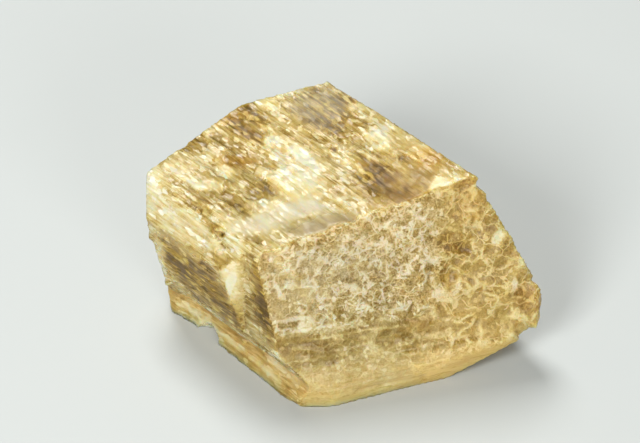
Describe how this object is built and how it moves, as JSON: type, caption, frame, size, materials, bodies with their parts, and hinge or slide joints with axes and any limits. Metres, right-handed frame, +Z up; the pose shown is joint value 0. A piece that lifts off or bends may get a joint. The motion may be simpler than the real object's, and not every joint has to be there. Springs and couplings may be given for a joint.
{
  "type": "dipyre crystal specimen",
  "caption": "Loose honey-coloured crystal: a stout ridged prism with an etched, pitted end face and a broken back, lying on a flat face.",
  "frame": {"origin": "on the ground under the middle of the crystal's bounding box", "axes": "+Z up from the face it rests on, +X along its longest side to the pointed right end, -Y towards the etched front face"},
  "size_m": [0.0216, 0.0152, 0.0116],
  "materials": {
    "dipyre": "glassy to frosted, translucent honey-coloured natural crystal"
  },
  "bodies": {
    "root": {"dipyre_crystal": "dipyre"}
  },
  "joints": []
}
